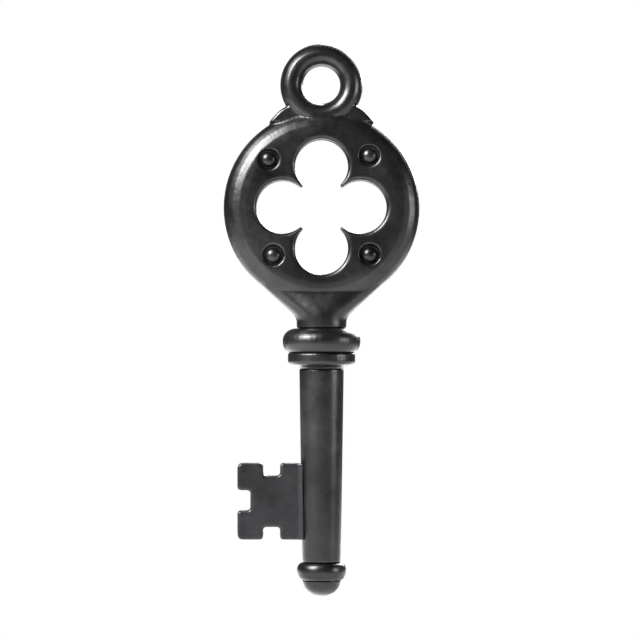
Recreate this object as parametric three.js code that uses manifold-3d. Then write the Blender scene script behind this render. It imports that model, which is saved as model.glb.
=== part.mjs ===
// A small pewter key charm with a black finish: a round bow pierced by a quatrefoil, a hanging eye
// above it, and a round shank with a collar, a notched bit and a turned tip below it.
// Millimetres, +Z up. The origin is the centre of the hole in the eye, and the front looks along -Y.
import * as THREE from 'three';
import { mergeVertices } from 'three/addons/utils/BufferGeometryUtils.js';
import Module from 'manifold-3d';

const wasm = await Module();
wasm.setup();

// Hidden clearances: a peg or tongue in its socket, and a saddle cut to sit on its neighbour.
const PEG_CLEARANCE = 0.03;
const SADDLE_CLEARANCE = 0.02;
const CUT_MARGIN = 0.5;

// Hanging eye: a ring of oval section on a low foot.
const EYE_HOLE_RADIUS = 1.07;
const EYE_OUTER_RADIUS = 2.4;
const EYE_DEPTH = 1.8;
const FOOT_DEPTH = 1.3;
const FOOT_TOP_DROP = 1.2;
const FOOT_TOP_HALF_WIDTH = 1.9;
const FOOT_FLARE_HALF_WIDTH = 3.05;
const FOOT_SINK = 0.75;
const EYE_TONGUE_HALF_WIDTH = 1.1;
const EYE_TONGUE_REACH = 0.9;
const TONGUE_THICKNESS = 0.7;

// Bow: a round plate with rolled edges.
const BOW_RADIUS = 5.68;
const BOW_THICKNESS = 2.2;
const BOW_SHOULDER = 1.35;
const BOW_DROP = 7.1;

// Quatrefoil piercing: four round lobes joined by a diamond, so that the cusps end blunt.
const LOBE_RADIUS = 1.545;
const LOBE_OFFSET_ACROSS = 2.24;
const LOBE_OFFSET_ALONG = 2.37;
const LOBE_EDGE_BEVEL = 0.14;
const PIERCING_LIFT = 0.03;

// Studs: one stem through the plate with a domed bead in a round pit on each face.
const STUD_BEAD_RADIUS = 0.44;
const STUD_STEM_RADIUS = 0.25;
const STUD_PROUD = 0.12;
const PIT_RADIUS = 0.6;
const PIT_DEPTH = 0.22;
const STUD_PLACES = [[-3.06, 2.74], [2.76, 2.95], [-2.79, -2.8], [2.78, -2.76]];

// Neck: a flat wedge below the bow that turns into a round.
const NECK_RADIUS = 1.44;
const NECK_SPREAD_HALF_WIDTH = 3.99;
const NECK_SPREAD_DEPTH = 1.6;
const NECK_SPREAD_OVERLAP = 1.68;
const NECK_SLOPE = 1.09;
const NECK_LENGTH = 1.3;
const NECK_BLEND = 0.08;
const NECK_TONGUE_HALF_WIDTH = 0.9;
const NECK_TONGUE_REACH = 0.8;

// Collar: a round bead over a smaller cup, both threaded on the upper tenon of the shank.
const BEAD_RADIUS = 2.26;
const BEAD_HEIGHT = 1.4;
const BEAD_TOP_LAND = 1.47;
const BEAD_FOOT_LAND = 1.9;
const CUP_RADIUS = 1.95;
const CUP_HEIGHT = 0.95;
const CUP_STRAIGHT = 0.5;

// Shank: a round that tapers to the tip, with a tenon at each end.
const SHANK_TOP_RADIUS = 1.29;
const SHANK_TIP_RADIUS = 1.12;
const SHANK_LENGTH = 11.22;
const UPPER_TENON_RADIUS = 0.75;
const UPPER_TENON_ENTRY = 0.8;
const LOWER_TENON_RADIUS = 0.6;
const LOWER_TENON_ENTRY = 0.45;

// Tip: a ring and a domed button on the lower tenon.
const TIP_RING_RADIUS = 1.44;
const TIP_RING_HEIGHT = 1.0;
const TIP_RING_LAND = 1.15;
const BUTTON_RADIUS = 1.14;
const BUTTON_HEIGHT = 0.95;

// Bit: a flat plate with three notches, a rounded root rib and a tongue in the shank.
const BIT_REACH = 4.87;
const BIT_HEIGHT = 4.43;
const BIT_TOP_DROP = 5.45;
const BIT_THICKNESS = 1.0;
const BIT_EDGE_BEVEL = 0.12;
const BIT_CORNER_RADIUS = 0.32;
const NOTCH_CORNER_RADIUS = 0.2;
const END_NOTCH_WIDTH = 0.98;
const END_NOTCH_DEPTH = 0.73;
const END_NOTCH_PLACE = 2.89;
const SIDE_NOTCH_HEIGHT = 1.18;
const SIDE_NOTCH_DEPTH = 0.75;
const SIDE_NOTCH_DROP = 1.57;
const ROOT_RIB_RADIUS = 0.62;
const ROOT_RIB_PLACE = 0.95;
const BIT_TONGUE_DEPTH = 0.42;
const BIT_TONGUE_INSET = 0.4;
const BIT_TONGUE_THICKNESS = 0.56;

// Facets round a full turn, and along one rounded quarter.
const BOW_SEGMENTS = 80;
const RING_SEGMENTS = 48;
const SHAFT_SEGMENTS = 40;
const STUD_SEGMENTS = 20;
const QUARTER_STEPS = 5;
const NECK_STEPS = 12;

// Heights that follow from the sizes above, measured down from the centre of the eye's hole.
const BOW_TOP = BOW_RADIUS - BOW_DROP;
const BOW_FOOT = -BOW_DROP - BOW_RADIUS;
const PIERCING_Z = PIERCING_LIFT - BOW_DROP;
const NECK_FOOT = BOW_FOOT - NECK_LENGTH;
const BEAD_FOOT = NECK_FOOT - BEAD_HEIGHT;
const CUP_FOOT = BEAD_FOOT - CUP_HEIGHT;
const SHANK_FOOT = CUP_FOOT - SHANK_LENGTH;
const TIP_RING_FOOT = SHANK_FOOT - TIP_RING_HEIGHT;
const BUTTON_FOOT = TIP_RING_FOOT - BUTTON_HEIGHT;
const BIT_TOP = CUP_FOOT - BIT_TOP_DROP;
const BIT_FOOT = BIT_TOP - BIT_HEIGHT;

// Six times the signed volume of a triangle mesh, positive when its faces point out.
function signedVolume(positions, triangles) {
  const corner = (i) => new THREE.Vector3().fromArray(positions, 3 * i);
  let total = 0;
  for (let i = 0; i < triangles.length; i += 3) {
    const [a, b, c] = [corner(triangles[i]), corner(triangles[i + 1]), corner(triangles[i + 2])];
    total += a.dot(b.cross(c));
  }
  return total;
}

// Turns a closed geometry into a solid: shared corners merged, empty triangles left out, faces out.
function toSolid(geometry) {
  geometry.deleteAttribute('normal');
  geometry.deleteAttribute('uv');
  const merged = mergeVertices(geometry, 1e-4);
  const positions = merged.attributes.position.array;
  const index = merged.index.array;
  const triangles = [];
  for (let i = 0; i < index.length; i += 3) {
    const [a, b, c] = [index[i], index[i + 1], index[i + 2]];
    if (a !== b && b !== c && c !== a) triangles.push(a, b, c);
  }
  if (signedVolume(positions, triangles) < 0) triangles.reverse();
  const vertProperties = Float32Array.from(positions);
  const triVerts = Uint32Array.from(triangles);
  return new wasm.Manifold(new wasm.Mesh({ numProp: 3, vertProperties, triVerts }));
}

function toMesh(name, solid, material) {
  const { vertProperties, triVerts } = solid.getMesh();
  const geometry = new THREE.BufferGeometry();
  geometry.setAttribute('position', new THREE.BufferAttribute(vertProperties, 3));
  geometry.setIndex(new THREE.BufferAttribute(triVerts, 1));
  geometry.computeVertexNormals();
  const mesh = new THREE.Mesh(geometry, material);
  mesh.name = name;
  return mesh;
}

// A profile of [radius, height] pairs turned about the vertical axis.
function turnedUpright(profile, segments = SHAFT_SEGMENTS) {
  const points = profile.map(([radius, height]) => new THREE.Vector2(radius, height));
  return toSolid(new THREE.LatheGeometry(points, segments).rotateX(Math.PI / 2));
}

// A profile of [radius, depth] pairs turned about an axis that runs from front to back.
function turnedFrontToBack(profile, segments) {
  const points = profile.map(([radius, depth]) => new THREE.Vector2(radius, depth));
  return toSolid(new THREE.LatheGeometry(points, segments));
}

// Points on part of an ellipse, as [first, second] pairs, with angles in quarter turns.
function ellipseArc(centre, reach, from, to, steps = QUARTER_STEPS) {
  const points = [];
  for (let i = 0; i <= steps; i += 1) {
    const angle = (from + ((to - from) * i) / steps) * (Math.PI / 2);
    points.push([centre[0] + reach[0] * Math.cos(angle), centre[1] + reach[1] * Math.sin(angle)]);
  }
  return points;
}

// A block between two corners.
function block(low, high) {
  const size = high.map((value, axis) => value - low[axis]);
  const middle = high.map((value, axis) => (value + low[axis]) / 2);
  return toSolid(new THREE.BoxGeometry(...size).translate(...middle));
}

// An outline in the X-Z plane, extruded evenly to the front and the back, with bevelled edges.
function plate(outline, thickness, bevel) {
  const geometry = new THREE.ExtrudeGeometry(outline, {
    depth: thickness - 2 * bevel,
    bevelEnabled: bevel > 0,
    bevelThickness: bevel,
    bevelSize: bevel,
    bevelOffset: -bevel,
    bevelSegments: 2,
    curveSegments: 4,
  });
  geometry.translate(0, 0, bevel - thickness / 2);
  return toSolid(geometry.rotateX(Math.PI / 2));
}

// A closed outline through corners given as [x, z, radius], each corner rounded by its own radius.
function roundedOutline(corners) {
  const shape = new THREE.Shape();
  corners.forEach(([x, z, radius], i) => {
    const corner = new THREE.Vector2(x, z);
    const towards = (j) => {
      const other = corners[(i + j + corners.length) % corners.length];
      const way = new THREE.Vector2(other[0], other[1]).sub(corner).normalize();
      return corner.clone().addScaledVector(way, radius);
    };
    const [start, end] = [towards(-1), towards(1)];
    if (i === 0) shape.moveTo(start.x, start.y);
    else shape.lineTo(start.x, start.y);
    if (radius > 0) shape.quadraticCurveTo(x, z, end.x, end.y);
  });
  shape.closePath();
  return shape;
}

// The round blank of the bow, grown by an allowance where a neighbour is cut to sit on it.
function bowBlank(allowance = 0) {
  const half = BOW_THICKNESS / 2 + allowance;
  const radius = BOW_RADIUS + allowance;
  const edge = [radius - BOW_SHOULDER, 0];
  const profile = [
    [0, -half],
    ...ellipseArc(edge, [BOW_SHOULDER, half], -1, 1, 2 * QUARTER_STEPS),
    [0, half],
  ];
  return turnedFrontToBack(profile, BOW_SEGMENTS).translate(0, 0, -BOW_DROP);
}

// One lobe of the piercing, opening out at both faces by the width of the bevel.
function lobeCutter() {
  const half = BOW_THICKNESS / 2;
  const mouth = LOBE_RADIUS + LOBE_EDGE_BEVEL;
  const profile = [
    [0, -half - CUT_MARGIN],
    [mouth, -half - CUT_MARGIN],
    [mouth, -half],
    [LOBE_RADIUS, LOBE_EDGE_BEVEL - half],
    [LOBE_RADIUS, half - LOBE_EDGE_BEVEL],
    [mouth, half],
    [mouth, half + CUT_MARGIN],
    [0, half + CUT_MARGIN],
  ];
  return turnedFrontToBack(profile, SHAFT_SEGMENTS);
}

function quatrefoilCutter() {
  const [across, along] = [LOBE_OFFSET_ACROSS, LOBE_OFFSET_ALONG];
  const diamond = roundedOutline([[across, 0, 0], [0, along, 0], [-across, 0, 0], [0, -along, 0]]);
  let cutter = plate(diamond, BOW_THICKNESS + 2 * CUT_MARGIN, 0);
  for (const [x, z] of [[across, 0], [-across, 0], [0, along], [0, -along]]) {
    cutter = cutter.add(lobeCutter().translate(x, 0, z));
  }
  return cutter.translate(0, 0, PIERCING_Z);
}

// A tongue that runs up or down from a neighbour into the rim of the bow.
function rimTongue(halfWidth, from, to, allowance = 0) {
  const halfThickness = TONGUE_THICKNESS / 2 + allowance;
  const low = [-halfWidth - allowance, -halfThickness, Math.min(from, to) - allowance];
  const high = [halfWidth + allowance, halfThickness, Math.max(from, to) + allowance];
  return block(low, high);
}

const eyeTongue = (allowance) => rimTongue(
  EYE_TONGUE_HALF_WIDTH, BOW_TOP + SADDLE_CLEARANCE, BOW_TOP - EYE_TONGUE_REACH, allowance);

const neckTongue = (allowance) => rimTongue(
  NECK_TONGUE_HALF_WIDTH, BOW_FOOT - SADDLE_CLEARANCE, BOW_FOOT + NECK_TONGUE_REACH, allowance);

// The hole for one stud: a pit in each face and a bore for the stem between them.
function studHole() {
  const half = BOW_THICKNESS / 2;
  const bore = STUD_STEM_RADIUS + PEG_CLEARANCE;
  const profile = [
    [0, -half - CUT_MARGIN],
    [PIT_RADIUS, -half - CUT_MARGIN],
    [PIT_RADIUS, PIT_DEPTH - half],
    [bore, PIT_DEPTH - half],
    [bore, half - PIT_DEPTH],
    [PIT_RADIUS, half - PIT_DEPTH],
    [PIT_RADIUS, half + CUT_MARGIN],
    [0, half + CUT_MARGIN],
  ];
  return turnedFrontToBack(profile, STUD_SEGMENTS);
}

function bowPlate() {
  let solid = bowBlank().subtract(quatrefoilCutter());
  for (const [x, z] of STUD_PLACES) {
    solid = solid.subtract(studHole().translate(x, 0, PIERCING_Z + z));
  }
  return solid.subtract(eyeTongue(PEG_CLEARANCE)).subtract(neckTongue(PEG_CLEARANCE));
}

// One stud: its beads sit on the floors of the two pits.
function bowStud() {
  const floor = BOW_THICKNESS / 2 - PIT_DEPTH;
  const dome = [STUD_BEAD_RADIUS, PIT_DEPTH + STUD_PROUD];
  const profile = [
    ...ellipseArc([0, -floor], dome, -1, 0, 4),
    [STUD_STEM_RADIUS, -floor],
    [STUD_STEM_RADIUS, floor],
    ...ellipseArc([0, floor], dome, 0, 1, 4),
  ];
  return turnedFrontToBack(profile, STUD_SEGMENTS);
}

// The eye: a ring of oval section, joined to a flared foot that is cut to sit astride the rim.
function hangingEye() {
  const middle = (EYE_OUTER_RADIUS + EYE_HOLE_RADIUS) / 2;
  const wall = (EYE_OUTER_RADIUS - EYE_HOLE_RADIUS) / 2;
  const section = ellipseArc([middle, 0], [wall, EYE_DEPTH / 2], 0, 4, 3 * QUARTER_STEPS);
  const ring = turnedFrontToBack(section, RING_SEGMENTS);
  const footFloor = BOW_TOP - FOOT_SINK;
  const outline = new THREE.Shape();
  outline.moveTo(-FOOT_TOP_HALF_WIDTH, -FOOT_TOP_DROP);
  outline.bezierCurveTo(
    -EYE_OUTER_RADIUS, BOW_TOP, -EYE_OUTER_RADIUS, BOW_TOP, -FOOT_FLARE_HALF_WIDTH, footFloor);
  outline.lineTo(FOOT_FLARE_HALF_WIDTH, footFloor);
  outline.bezierCurveTo(
    EYE_OUTER_RADIUS, BOW_TOP, EYE_OUTER_RADIUS, BOW_TOP, FOOT_TOP_HALF_WIDTH, -FOOT_TOP_DROP);
  outline.closePath();
  const foot = plate(outline, FOOT_DEPTH, BIT_EDGE_BEVEL);
  return ring.add(foot).subtract(bowBlank(SADDLE_CLEARANCE)).add(eyeTongue(0));
}

// Half width of the neck at a height: straight sides that turn softly into the round.
function neckHalfWidth(z) {
  const spreadTop = BOW_FOOT + NECK_SPREAD_OVERLAP;
  const side = NECK_SPREAD_HALF_WIDTH - NECK_SLOPE * (spreadTop - z);
  return NECK_RADIUS + NECK_BLEND * Math.log1p(Math.exp((side - NECK_RADIUS) / NECK_BLEND));
}

// The neck: a loft of rounded sections, wide and thin in the bow, round at the collar.
function neck() {
  const spreadTop = BOW_FOOT + NECK_SPREAD_OVERLAP;
  const rings = [];
  for (let step = 0; step <= NECK_STEPS; step += 1) {
    const t = step / NECK_STEPS;
    const z = spreadTop + (NECK_FOOT - spreadTop) * t;
    const turn = THREE.MathUtils.smoothstep(t, 0, 0.85);
    const depth = THREE.MathUtils.lerp(NECK_SPREAD_DEPTH / 2, NECK_RADIUS, turn);
    const power = THREE.MathUtils.lerp(0.62, 1, turn);
    const ring = [];
    for (let i = 0; i < SHAFT_SEGMENTS; i += 1) {
      const angle = (2 * Math.PI * i) / SHAFT_SEGMENTS;
      const [across, deep] = [Math.cos(angle), Math.sin(angle)];
      const x = neckHalfWidth(z) * Math.sign(across) * Math.abs(across) ** power;
      const y = depth * Math.sign(deep) * Math.abs(deep) ** power;
      ring.push(new THREE.Vector3(x, y, z));
    }
    rings.push(ring);
  }
  const socket = turnedUpright([
    [0, NECK_FOOT - CUT_MARGIN],
    [UPPER_TENON_RADIUS + PEG_CLEARANCE, NECK_FOOT - CUT_MARGIN],
    [UPPER_TENON_RADIUS + PEG_CLEARANCE, NECK_FOOT + UPPER_TENON_ENTRY + PEG_CLEARANCE],
    [0, NECK_FOOT + UPPER_TENON_ENTRY + PEG_CLEARANCE],
  ]);
  return loft(rings).subtract(bowBlank(SADDLE_CLEARANCE)).add(neckTongue(0)).subtract(socket);
}

// A closed skin over rings with equal numbers of points, with a flat cap on each end.
function loft(rings) {
  const count = rings[0].length;
  const triangles = [];
  for (let row = 0; row + 1 < rings.length; row += 1) {
    for (let i = 0; i < count; i += 1) {
      const next = (i + 1) % count;
      const [a, b] = [row * count + i, row * count + next];
      triangles.push(a, b, b + count, a, b + count, a + count);
    }
  }
  const last = (rings.length - 1) * count;
  for (let i = 1; i + 1 < count; i += 1) {
    triangles.push(0, i + 1, i);
    triangles.push(last, last + i, last + i + 1);
  }
  const geometry = new THREE.BufferGeometry().setFromPoints(rings.flat());
  geometry.setIndex(triangles);
  return toSolid(geometry);
}

// The collar's bead: a ring with a full round outside, bored for the upper tenon.
function collarBead() {
  const bore = UPPER_TENON_RADIUS + PEG_CLEARANCE;
  const belly = BEAD_FOOT + BEAD_HEIGHT / 2;
  return turnedUpright([
    [bore, BEAD_FOOT],
    [BEAD_FOOT_LAND, BEAD_FOOT],
    ...ellipseArc([BEAD_FOOT_LAND, belly], [BEAD_RADIUS - BEAD_FOOT_LAND, BEAD_HEIGHT / 2 - 0.02], -1, 0),
    ...ellipseArc([BEAD_TOP_LAND, belly], [BEAD_RADIUS - BEAD_TOP_LAND, BEAD_HEIGHT / 2], 0, 1).slice(1),
    [bore, NECK_FOOT],
    [bore, BEAD_FOOT],
  ]);
}

// The collar's cup: straight above, then drawn in to the shank.
function collarCup() {
  const bore = UPPER_TENON_RADIUS + PEG_CLEARANCE;
  const turn = BEAD_FOOT - CUP_STRAIGHT;
  const rise = turn - CUP_FOOT;
  return turnedUpright([
    [bore, CUP_FOOT],
    [SHANK_TOP_RADIUS, CUP_FOOT],
    ...ellipseArc([CUP_RADIUS, CUP_FOOT], [SHANK_TOP_RADIUS - CUP_RADIUS, rise * 0.5], 0, 0.6, 3).slice(1),
    ...ellipseArc([CUP_RADIUS - rise, turn], [rise, rise * 0.6], -0.6, 0, 4),
    [CUP_RADIUS, BEAD_FOOT - 0.08],
    [CUP_RADIUS - 0.08, BEAD_FOOT],
    [bore, BEAD_FOOT],
    [bore, CUP_FOOT],
  ]);
}

// The shank's outside, grown by an allowance where the bit is cut to sit against it.
function shankBlank(allowance = 0) {
  const [upper, lower] = [UPPER_TENON_RADIUS + allowance, LOWER_TENON_RADIUS + allowance];
  return turnedUpright([
    [0, TIP_RING_FOOT - LOWER_TENON_ENTRY],
    [lower, TIP_RING_FOOT - LOWER_TENON_ENTRY],
    [lower, SHANK_FOOT],
    [SHANK_TIP_RADIUS + allowance, SHANK_FOOT],
    [SHANK_TOP_RADIUS + allowance, CUP_FOOT],
    [upper, CUP_FOOT],
    [upper, NECK_FOOT + UPPER_TENON_ENTRY],
    [0, NECK_FOOT + UPPER_TENON_ENTRY],
  ]);
}

// The bit's tongue, from its root to a seat inside the shank.
function bitTongue(allowance = 0) {
  const half = BIT_TONGUE_THICKNESS / 2 + allowance;
  const seat = SHANK_TIP_RADIUS - BIT_TONGUE_DEPTH - allowance;
  const root = ROOT_RIB_PLACE + ROOT_RIB_RADIUS;
  const foot = BIT_FOOT + BIT_TONGUE_INSET - allowance;
  return block([-root, -half, foot], [-seat, half, BIT_TOP - BIT_TONGUE_INSET + allowance]);
}

function shank() {
  return shankBlank().subtract(bitTongue(PEG_CLEARANCE));
}

// The bit's outline, from the root round the free end, with a notch in each of its three sides.
function bitOutline() {
  const root = -ROOT_RIB_PLACE;
  const end = -BIT_REACH;
  const [notchIn, notchOut] = [END_NOTCH_PLACE - END_NOTCH_WIDTH / 2, END_NOTCH_PLACE + END_NOTCH_WIDTH / 2];
  const sideTop = BIT_TOP - SIDE_NOTCH_DROP;
  const sideFoot = sideTop - SIDE_NOTCH_HEIGHT;
  const [corner, inner] = [BIT_CORNER_RADIUS, NOTCH_CORNER_RADIUS];
  return roundedOutline([
    [root, BIT_FOOT, 0],
    [root, BIT_TOP, 0],
    [-notchIn, BIT_TOP, inner],
    [-notchIn, BIT_TOP - END_NOTCH_DEPTH, inner],
    [-notchOut, BIT_TOP - END_NOTCH_DEPTH, inner],
    [-notchOut, BIT_TOP, inner],
    [end, BIT_TOP, corner],
    [end, sideTop, inner],
    [end + SIDE_NOTCH_DEPTH, sideTop, inner],
    [end + SIDE_NOTCH_DEPTH, sideFoot, inner],
    [end, sideFoot, inner],
    [end, BIT_FOOT, corner],
    [-notchOut, BIT_FOOT, inner],
    [-notchOut, BIT_FOOT + END_NOTCH_DEPTH, inner],
    [-notchIn, BIT_FOOT + END_NOTCH_DEPTH, inner],
    [-notchIn, BIT_FOOT, inner],
  ]);
}

// The bit: its plate and root rib are hollowed to the shank, then the tongue is added.
function bit() {
  const rib = turnedUpright([
    [0, BIT_FOOT], [ROOT_RIB_RADIUS, BIT_FOOT], [ROOT_RIB_RADIUS, BIT_TOP], [0, BIT_TOP],
  ], STUD_SEGMENTS).translate(-ROOT_RIB_PLACE, 0, 0);
  const blade = plate(bitOutline(), BIT_THICKNESS, BIT_EDGE_BEVEL).add(rib);
  return blade.subtract(shankBlank(SADDLE_CLEARANCE)).add(bitTongue());
}

// The tip's ring, bored for the lower tenon.
function tipRing() {
  const bore = LOWER_TENON_RADIUS + PEG_CLEARANCE;
  const middle = SHANK_FOOT - TIP_RING_HEIGHT / 2;
  const reach = [TIP_RING_RADIUS - TIP_RING_LAND, TIP_RING_HEIGHT / 2];
  return turnedUpright([
    [bore, TIP_RING_FOOT],
    ...ellipseArc([TIP_RING_LAND, middle], reach, -1, 1, 2 * QUARTER_STEPS),
    [bore, SHANK_FOOT],
    [bore, TIP_RING_FOOT],
  ]);
}

// The domed button that ends the key, with a blind socket for the lower tenon.
function tipButton() {
  const socket = LOWER_TENON_RADIUS + PEG_CLEARANCE;
  const floor = TIP_RING_FOOT - LOWER_TENON_ENTRY - PEG_CLEARANCE;
  return turnedUpright([
    ...ellipseArc([0, TIP_RING_FOOT], [BUTTON_RADIUS, BUTTON_HEIGHT], -1, 0, 8),
    [socket, TIP_RING_FOOT],
    [socket, floor],
    [0, floor],
  ]);
}

const blackPewter = () => new THREE.MeshStandardMaterial({
  color: 0x303235,
  roughness: 0.42,
  metalness: 0.85,
});

const key = new THREE.Group();
key.name = 'pewter_key';
key.add(toMesh('hanging_eye', hangingEye(), blackPewter()));
key.add(toMesh('bow_plate', bowPlate(), blackPewter()));
STUD_PLACES.forEach(([x, z], i) => {
  const stud = toMesh(`bow_stud_${i + 1}`, bowStud(), blackPewter());
  stud.position.set(x, 0, PIERCING_Z + z);
  key.add(stud);
});
key.add(toMesh('neck', neck(), blackPewter()));
key.add(toMesh('collar_bead', collarBead(), blackPewter()));
key.add(toMesh('collar_cup', collarCup(), blackPewter()));
key.add(toMesh('shank', shank(), blackPewter()));
key.add(toMesh('bit', bit(), blackPewter()));
key.add(toMesh('tip_ring', tipRing(), blackPewter()));
key.add(toMesh('tip_button', tipButton(), blackPewter()));

export default key;
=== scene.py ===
# A small pewter key charm with a black finish, hung upright by its eye against a white ground.
import bpy
from mathutils import Matrix, Vector


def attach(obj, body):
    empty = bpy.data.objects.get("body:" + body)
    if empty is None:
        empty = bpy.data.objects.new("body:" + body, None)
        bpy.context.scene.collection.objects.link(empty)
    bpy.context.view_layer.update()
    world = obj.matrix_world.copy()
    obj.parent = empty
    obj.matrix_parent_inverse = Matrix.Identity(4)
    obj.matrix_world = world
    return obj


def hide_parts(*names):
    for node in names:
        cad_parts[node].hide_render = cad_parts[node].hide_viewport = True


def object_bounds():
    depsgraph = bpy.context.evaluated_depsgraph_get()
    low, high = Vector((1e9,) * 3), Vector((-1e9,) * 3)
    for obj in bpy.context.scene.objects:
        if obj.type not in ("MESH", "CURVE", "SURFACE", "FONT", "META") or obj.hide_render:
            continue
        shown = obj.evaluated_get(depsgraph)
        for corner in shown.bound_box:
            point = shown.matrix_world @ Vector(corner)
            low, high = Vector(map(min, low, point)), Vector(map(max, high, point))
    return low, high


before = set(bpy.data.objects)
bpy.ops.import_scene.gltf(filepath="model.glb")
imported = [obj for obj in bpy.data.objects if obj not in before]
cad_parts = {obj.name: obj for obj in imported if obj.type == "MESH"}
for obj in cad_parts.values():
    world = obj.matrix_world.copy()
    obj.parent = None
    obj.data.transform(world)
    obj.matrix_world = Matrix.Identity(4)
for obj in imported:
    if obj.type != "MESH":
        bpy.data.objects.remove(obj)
cad_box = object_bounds()

# The camera looks straight at the key's front through a long lens, from as far away as makes the
# 32 mm key as tall in the picture as it is in the photograph. The key hangs a little off centre.
MM = 0.001
VIEW_HEIGHT = 37.07 * MM
VIEW_CENTRE = Vector((-0.09, 0, -13.6)) * MM
LENS = 200
SENSOR = 36
NEAREST = 1 * MM
FURTHEST = 20

camera = bpy.data.objects.new("camera", bpy.data.cameras.new("camera"))
bpy.context.scene.collection.objects.link(camera)
camera.data.lens = LENS
camera.data.sensor_width = SENSOR
camera.data.clip_start = NEAREST
camera.data.clip_end = FURTHEST
camera.location = VIEW_CENTRE + Vector((0, -VIEW_HEIGHT * LENS / SENSOR, 0))
camera.rotation_euler = Vector((0, 1, 0)).to_track_quat("-Z", "Y").to_euler()
bpy.context.scene.camera = camera
bpy.context.scene.view_settings.view_transform = "Standard"

# Soft studio light from square lamps, each with its place from the middle of the view and its
# side in millimetres, and its power in watts. The broad one stands high on the left.
LAMPS = {
    "key_lamp": ((-75, -60, 70), 60, 1.1),
    "strip_lamp": ((90, -30, 10), 26, 0.08),
    "back_lamp": ((40, 110, 60), 80, 0.35),
}
for name, (place, side, watts) in LAMPS.items():
    shape = bpy.data.lights.new(name, "AREA")
    shape.size = side * MM
    shape.energy = watts
    lamp = bpy.data.objects.new(name, shape)
    lamp.location = VIEW_CENTRE + Vector(place) * MM
    lamp.rotation_euler = (VIEW_CENTRE - lamp.location).to_track_quat("-Z", "Y").to_euler()
    bpy.context.scene.collection.objects.link(lamp)


class Socket:
    """An output of a shader node, which sums can be written with."""

    def __init__(self, tree, link):
        self.tree = tree
        self.link = link

    def maths(self, operation, *values):
        return node(self.tree, "ShaderNodeMath", {"operation": operation}, dict(enumerate(values)))

    def __add__(self, other):
        return self.maths("ADD", self, other)

    def __mul__(self, other):
        return self.maths("MULTIPLY", self, other)

    __radd__ = __add__
    __rmul__ = __mul__


def node(tree, kind, settings=None, inputs=None, output=0):
    """Adds a node, sets it, fills its sockets with values or links, and gives one output back."""
    made = tree.nodes.new(kind)
    for name, value in (settings or {}).items():
        setattr(made, name, value)
    for name, value in (inputs or {}).items():
        if isinstance(value, Socket):
            tree.links.new(value.link, made.inputs[name])
        else:
            made.inputs[name].default_value = value
    return Socket(tree, made.outputs[output]) if made.outputs else None


# The ground is plain white where the camera sees it. For the light it is a dim grey surround, so
# that the black metal keeps its depth.
WHITE = (1, 1, 1, 1)
SURROUND = 0.14
GROUND = 1.0

world = bpy.data.worlds.new("studio")
bpy.context.scene.world = world
world.use_nodes = True
world.node_tree.nodes.clear()
sky = world.node_tree
dim = node(sky, "ShaderNodeBackground", {}, {"Color": WHITE, "Strength": SURROUND})
white = node(sky, "ShaderNodeBackground", {}, {"Color": WHITE, "Strength": GROUND})
seen = node(sky, "ShaderNodeLightPath", output="Is Camera Ray")
ground = node(sky, "ShaderNodeMixShader", {}, {0: seen, 1: dim, 2: white})
node(sky, "ShaderNodeOutputWorld", {}, {"Surface": ground})

# A pale round floor lies a little below the tip, because the key hangs. It is white to the camera
# as the ground is, and lights the key's underside as a pale table would.
FLOOR_GAP = 1.5 * MM
FLOOR_RADIUS = 80 * MM
FLOOR_SIDES = 64
FLOOR_TONE = (0.85, 0.85, 0.85, 1)

bpy.ops.object.select_all(action="DESELECT")
bpy.ops.mesh.primitive_circle_add(
    vertices=FLOOR_SIDES,
    radius=FLOOR_RADIUS,
    fill_type="NGON",
    location=(0, 0, cad_box[0].z - FLOOR_GAP),
)
floor = bpy.context.object
floor.name = "floor"
pale = bpy.data.materials.new("pale_floor")
pale.use_nodes = True
pale.node_tree.nodes.clear()
paint = pale.node_tree
seen = node(paint, "ShaderNodeLightPath", output="Is Camera Ray")
glow = node(paint, "ShaderNodeEmission", {}, {"Color": WHITE, "Strength": GROUND})
matt = node(paint, "ShaderNodeBsdfDiffuse", {}, {"Color": FLOOR_TONE})
mixed = node(paint, "ShaderNodeMixShader", {}, {0: seen, 1: matt, 2: glow})
node(paint, "ShaderNodeOutputMaterial", {}, {"Surface": mixed})
floor.data.materials.append(pale)

# The bow with its hanging eye and its neck: one casting in pewter, blackened and tumbled. On the
# real charm the three run into each other, so they share one skin, and the edges of the
# quatrefoil, the pits and the rim are softened by the tumbling.
BOW_FINENESS = 0.065
BOW_PASSES = 9
PEWTER = (0.0155, 0.0155, 0.0156)
PEWTER_ROUGHNESS = 0.34
PEWTER_GRAIN = 2600.0


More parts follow.
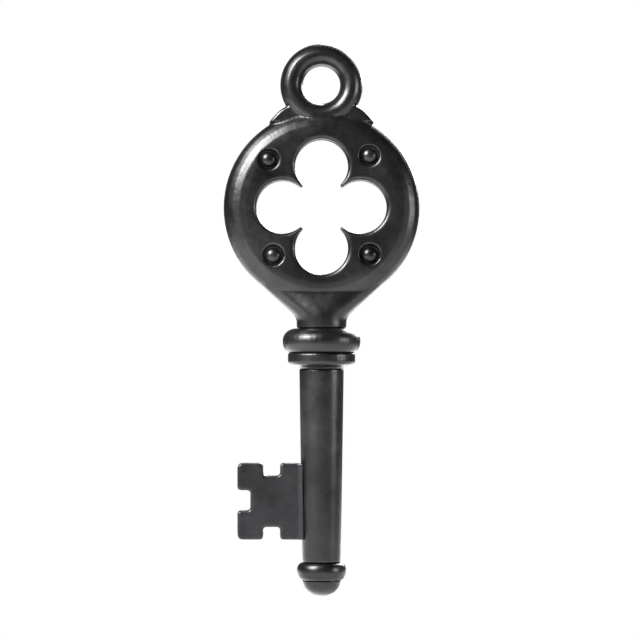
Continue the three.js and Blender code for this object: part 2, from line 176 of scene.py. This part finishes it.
def black_pewter(name, tone, roughness, grain):
    """Cast pewter with a tumbled black finish: cloudy dark grey, a soft sheen and a faint skin."""
    darkest, lightest = 0.25, 2.0
    cloud_scale = 420.0
    mottle = 0.2
    skin_depth, skin_strength = 0.05 * MM, 0.5
    metal_share = 0.92
    material = bpy.data.materials.new(name)
    material.use_nodes = True
    tree = material.node_tree
    tree.nodes.clear()
    place = node(tree, "ShaderNodeTexCoord", output="Object")
    clouds = node(tree, "ShaderNodeTexNoise", {}, {
        "Vector": place,
        "Scale": cloud_scale,
        "Detail": 5.0,
        "Roughness": 0.6,
    })
    specks = node(tree, "ShaderNodeTexNoise", {}, {
        "Vector": place,
        "Scale": grain,
        "Detail": 3.0,
        "Roughness": 0.65,
    })
    dark = [channel * darkest for channel in tone] + [1]
    light = [channel * lightest for channel in tone] + [1]
    colour = node(tree, "ShaderNodeMix", {"data_type": "RGBA"}, {0: clouds, 6: dark, 7: light}, 2)
    rough = clouds * mottle + specks * mottle + (roughness - mottle)
    height = clouds * 0.6 + specks * 0.4
    skin = node(tree, "ShaderNodeBump", {}, {
        "Strength": skin_strength,
        "Distance": skin_depth,
        "Height": height,
    })
    metal = node(tree, "ShaderNodeBsdfPrincipled", {}, {
        "Base Color": colour,
        "Metallic": metal_share,
        "Roughness": rough,
        "Normal": skin,
    })
    node(tree, "ShaderNodeOutputMaterial", {}, {"Surface": metal})
    return material


def cast_skin(name, nodes, fineness, passes, material):
    """Part of the casting: its solids as one closed skin of that fineness in millimetres, softened
    by that many passes. It is made at a scale of one unit a millimetre, then brought to size."""
    weld = 0.0008
    bpy.ops.object.select_all(action="DESELECT")
    for part in nodes:
        copy = bpy.data.objects.new("cast_" + part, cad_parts[part].data.copy())
        bpy.context.scene.collection.objects.link(copy)
        copy.data.materials.clear()
        copy.data.transform(Matrix.Scale(1 / MM, 4))
        copy.select_set(True)
        bpy.context.view_layer.objects.active = copy
    if len(nodes) > 1:
        bpy.ops.object.join()
    piece = bpy.context.view_layer.objects.active
    piece.name = name
    bpy.ops.object.mode_set(mode="EDIT")
    bpy.ops.mesh.select_all(action="SELECT")
    bpy.ops.mesh.remove_doubles(threshold=weld)
    bpy.ops.object.mode_set(mode="OBJECT")
    fine = piece.modifiers.new("skin", "REMESH")
    fine.mode = "VOXEL"
    fine.voxel_size = fineness
    soft = piece.modifiers.new("tumbled", "SMOOTH")
    soft.factor = 0.5
    soft.iterations = passes
    for modifier in (fine, soft):
        bpy.ops.object.modifier_apply(modifier=modifier.name)
    piece.data.transform(Matrix.Scale(MM, 4))
    bpy.ops.object.shade_smooth()
    piece.data.materials.append(material)
    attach(piece, "root")
    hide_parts(*nodes)


cast_metal = black_pewter("black_pewter", PEWTER, PEWTER_ROUGHNESS, PEWTER_GRAIN)
# The bit's metal: the same pewter painted a little darker, as painted shade on the bit's flat
# face. It is made here so that the two finishes keep their order.
BIT_PEWTER_PAINTED_SHADE = (0.0135, 0.0132, 0.0142)
BIT_ROUGHNESS = 0.38
BIT_GRAIN = 3200.0
bit_metal_painted_shade = black_pewter("black_pewter_bit_painted_shade", BIT_PEWTER_PAINTED_SHADE, BIT_ROUGHNESS, BIT_GRAIN)
cast_skin("cast_bow", ["hanging_eye", "bow_plate", "neck"], BOW_FINENESS, BOW_PASSES, cast_metal)

# Four round studs in pits round the quatrefoil, cast with the bow in the same pewter. They are
# under a millimetre across, so their skins are the finest.
STUDS = 4
STUD_FINENESS = 0.03
STUD_PASSES = 4
for number in range(1, STUDS + 1):
    stud = f"bow_stud_{number}"
    cast_skin("cast_" + stud, [stud], STUD_FINENESS, STUD_PASSES, cast_metal)

# The collar below the neck: a full round bead over a smaller cup, with a dark groove between
# them. Both are turned shapes in the same pewter.
COLLAR_FINENESS = 0.05
BEAD_PASSES = 6
CUP_PASSES = 4
cast_skin("cast_collar_bead", ["collar_bead"], COLLAR_FINENESS, BEAD_PASSES, cast_metal)
cast_skin("cast_collar_cup", ["collar_cup"], COLLAR_FINENESS, CUP_PASSES, cast_metal)

# The shank: a plain round rod of the same pewter that tapers towards the tip.
# The collar sits on its upper end and the tip on its lower end.
SHANK_FINENESS = 0.06
SHANK_PASSES = 8
cast_skin("cast_shank", ["shank"], SHANK_FINENESS, SHANK_PASSES, cast_metal)

# The bit: a flat notched plate on the shank's left side. Its face is smoother than the round
# parts, and its metal is painted a little darker than the rest, as painted shade on the flat face.
BIT_FINENESS = 0.045
BIT_PASSES = 6
# The bit gets the darker pewter, painted shade on its flat face.
cast_skin("cast_bit", ["bit"], BIT_FINENESS, BIT_PASSES, bit_metal_painted_shade)

# The tip: a ring and a domed button that end the shank, turned shapes in the same pewter.
# Their edges are as soft as the collar's.
TIP_FINENESS = 0.045
TIP_PASSES = 6
cast_skin("cast_tip_ring", ["tip_ring"], TIP_FINENESS, TIP_PASSES, cast_metal)
cast_skin("cast_tip_button", ["tip_button"], TIP_FINENESS, TIP_PASSES, cast_metal)
